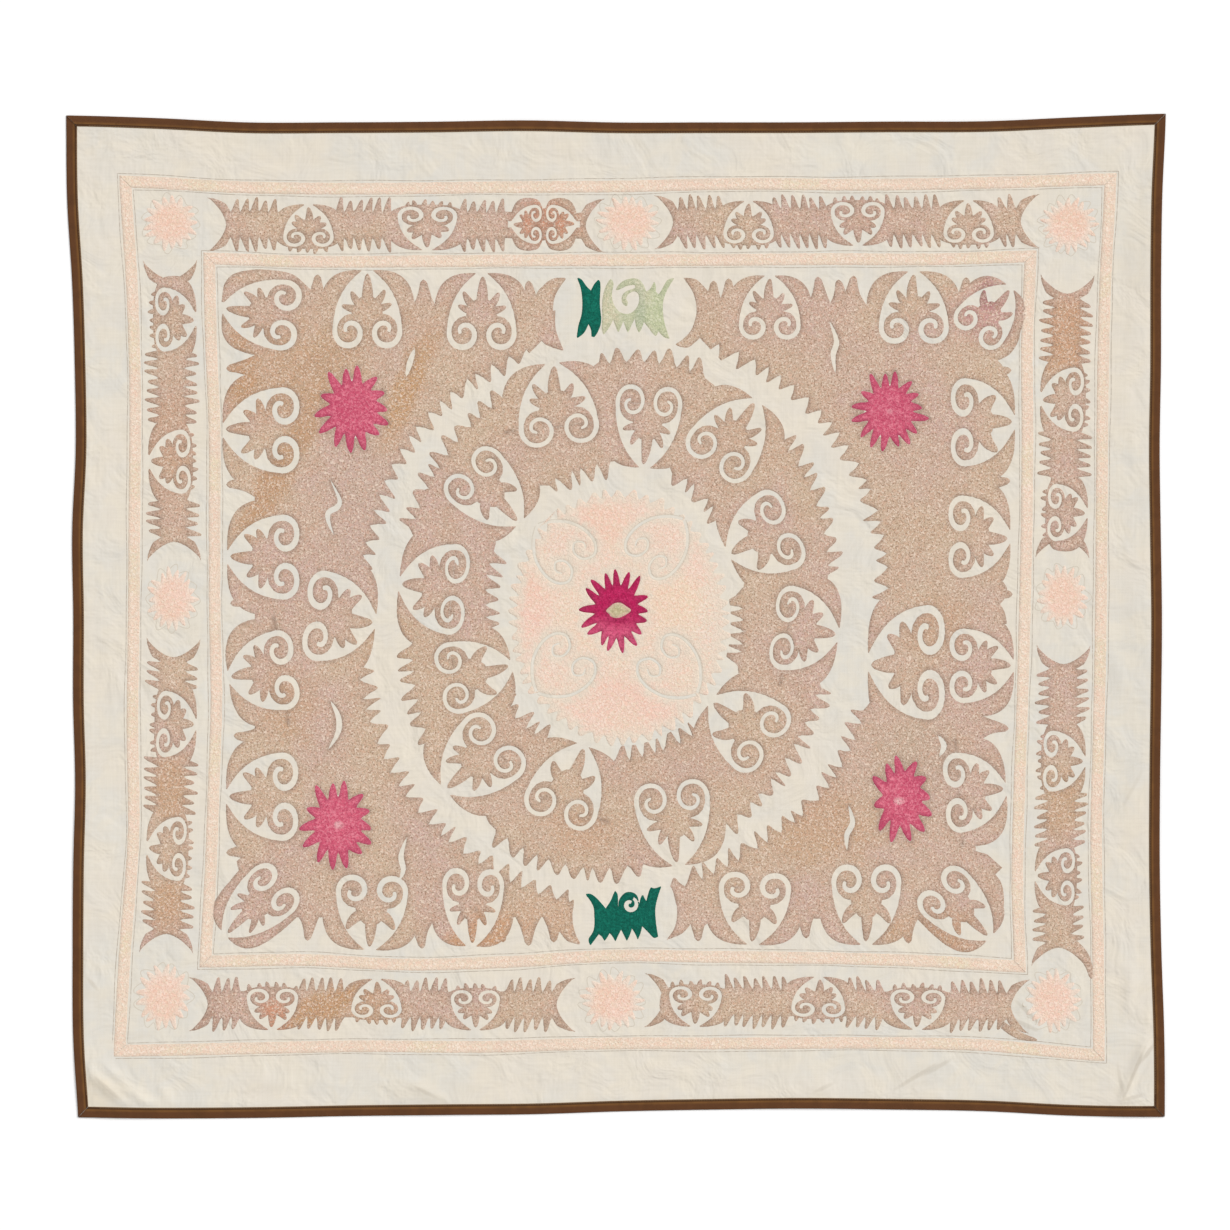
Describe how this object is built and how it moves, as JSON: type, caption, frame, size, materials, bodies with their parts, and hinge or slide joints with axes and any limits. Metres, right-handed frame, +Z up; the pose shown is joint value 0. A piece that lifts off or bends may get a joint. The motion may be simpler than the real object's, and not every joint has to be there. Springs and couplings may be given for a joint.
{
  "type": "embroidered hanging textile",
  "caption": "Suzani: cotton cloth with a toothed medallion, scrolled palmettes, rose stars and peach bands in stitched thread, bound in brown tape, lying flat.",
  "frame": {"origin": "under the middle of the cloth, on the plane that its flat middle lies on", "axes": "+X across the cloth to the right, +Y to its top edge, +Z up out of its face"},
  "size_m": [1.924, 1.7579, 0.0051],
  "materials": {
    "ground": "plain-weave cotton, matte, faintly blotched with age",
    "binding": "ribbed woven tape, matte",
    "tan": "close stitched thread with a low sheen",
    "peach": "close stitched thread, pale, low sheen",
    "blush": "close stitched thread, pale, low sheen",
    "rose": "close stitched thread, low sheen",
    "magenta": "close stitched thread, low sheen",
    "green": "close stitched thread, low sheen",
    "sage": "close stitched thread, low sheen"
  },
  "bodies": {
    "root": {"ground_cloth": "ground", "binding_bottom": "binding", "binding_right": "binding", "binding_top": "binding", "binding_left": "binding", "outer_band_bottom": "peach", "inner_band_bottom": "peach", "outer_band_right": "peach", "inner_band_right": "peach", "outer_band_top": "peach", "inner_band_top": "peach", "outer_band_left": "peach", "inner_band_left": "peach", "field_left": "tan", "field_right": "tan", "medallion_ring": "tan", "medallion_centre": "blush", "centre_star": "magenta", "rose_star_top_left": "rose", "rose_star_top_right": "rose", "rose_star_bottom_left": "rose", "rose_star_bottom_right": "rose", "border_top_left": "tan", "border_top_right": "tan", "border_left_top": "tan", "border_left_bottom": "tan", "border_right_top": "tan", "border_right_bottom": "tan", "border_bottom_left": "tan", "border_bottom_right": "tan", "rosette_top_left": "blush", "rosette_top": "blush", "rosette_top_right": "blush", "rosette_right": "blush", "rosette_bottom_right": "blush", "rosette_bottom": "blush", "rosette_bottom_left": "blush", "rosette_left": "blush", "green_top_dark": "green", "green_top_light": "sage", "green_bottom": "green"}
  },
  "joints": []
}
